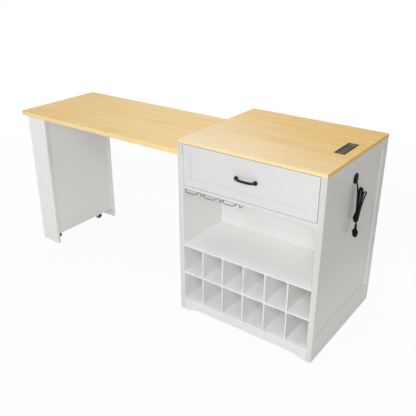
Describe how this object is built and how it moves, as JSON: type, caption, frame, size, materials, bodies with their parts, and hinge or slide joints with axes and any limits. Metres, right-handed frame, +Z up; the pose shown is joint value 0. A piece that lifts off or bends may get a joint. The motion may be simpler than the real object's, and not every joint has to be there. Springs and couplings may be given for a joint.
{
  "type": "extendable bar table",
  "caption": "White bar cabinet with drawer, open niche, bottle cells and a stemware rack, and a wooden leaf on a rolling leg that slides into the cabinet's side.",
  "frame": {"origin": "on the floor, in the middle of the table's outline with the leaf pulled out, free cord left out", "axes": "+X along the leaf towards the cabinet, +Y from the drawer front to the back, +Z up"},
  "size_m": [1.9493, 0.664, 0.9025],
  "materials": {
    "worktop_wood": "satin lacquered pale wood, grain along the leaf",
    "white_paint": "satin white paint on board",
    "guide_wood": "plain sanded wood",
    "black_metal": "satin black",
    "zinc_steel": "zinc plated",
    "chrome_wire": "bright chrome",
    "black_plastic": "fine matt moulding",
    "dark_plastic": "smooth dark moulding",
    "cord_rubber": "matt black cable sheath",
    "blade_brass": "plain brass",
    "tyre_rubber": "matt black",
    "hub_plastic": "grey moulding"
  },
  "bodies": {
    "cabinet": {"main_top": "worktop_wood", "right_side_board": "white_paint", "right_front_stile": "white_paint", "right_rear_stile": "white_paint", "right_top_rail": "white_paint", "right_bottom_rail": "white_paint", "left_side_board": "white_paint", "left_header": "white_paint", "left_front_stile": "white_paint", "left_rear_stile": "white_paint", "left_top_rail": "white_paint", "left_middle_rail": "white_paint", "left_bottom_rail": "white_paint", "back_board": "white_paint", "bottom_board": "white_paint", "front_plinth": "white_paint", "inner_back": "white_paint", "niche_shelf": "white_paint", "drawer_deck": "white_paint", "bottle_shelf": "white_paint", "bottle_divider_1": "white_paint", "bottle_divider_2": "white_paint", "bottle_divider_3": "white_paint", "bottle_divider_4": "white_paint", "bottle_divider_5": "white_paint", "leaf_guide_front": "guide_wood", "leaf_guide_rear": "guide_wood", "slide_outer": "zinc_steel", "stemware_rack": "chrome_wire", "power_body": "black_plastic", "cable_grommet": "black_plastic", "power_sockets": "dark_plastic", "cord_inner": "cord_rubber", "cord_lead": "cord_rubber", "cord_hank": "cord_rubber", "plug_body": "cord_rubber", "plug_blades": "blade_brass"},
    "leaf": {"leaf_top": "worktop_wood", "leaf_stop": "guide_wood", "leg_front_board": "white_paint", "leg_rear_board": "white_paint", "leg_outer_panel": "white_paint", "leg_inner_panel": "white_paint", "caster_board": "white_paint", "caster_brackets": "zinc_steel", "caster_axles": "zinc_steel", "caster_screws": "zinc_steel"},
    "drawer": {"drawer_front": "white_paint", "drawer_left_side": "white_paint", "drawer_right_side": "white_paint", "drawer_back": "white_paint", "drawer_bottom": "white_paint", "drawer_handle": "black_metal", "handle_screws": "zinc_steel", "slide_inner": "zinc_steel"},
    "drawer_runners": {"slide_middle": "zinc_steel"},
    "wheel_front": {"front_tyre": "tyre_rubber", "front_hub": "hub_plastic"},
    "wheel_rear": {"rear_tyre": "tyre_rubber", "rear_hub": "hub_plastic"}
  },
  "joints": [
    {"name": "leaf_slide", "type": "slide", "parent": "cabinet", "child": "leaf", "axis": [1, 0, 0], "range_m": [0, 0.54]},
    {"name": "drawer_slide", "type": "slide", "parent": "cabinet", "child": "drawer", "axis": [0, -1, 0], "range_m": [0, 0.3]},
    {"name": "runner_slide", "type": "slide", "parent": "cabinet", "child": "drawer_runners", "axis": [0, -1, 0], "range_m": [0, 0.15]},
    {"name": "front_wheel_spin", "type": "hinge", "parent": "leaf", "child": "wheel_front", "pos_m": [-0.8845, -0.17, 0.025], "axis": [0, 1, 0], "continuous": true},
    {"name": "rear_wheel_spin", "type": "hinge", "parent": "leaf", "child": "wheel_rear", "pos_m": [-0.8845, 0.176, 0.025], "axis": [0, 1, 0], "continuous": true}
  ],
  "couplings": [
    {"joint": "runner_slide", "follows": "drawer_slide", "ratio": 0.5}
  ]
}
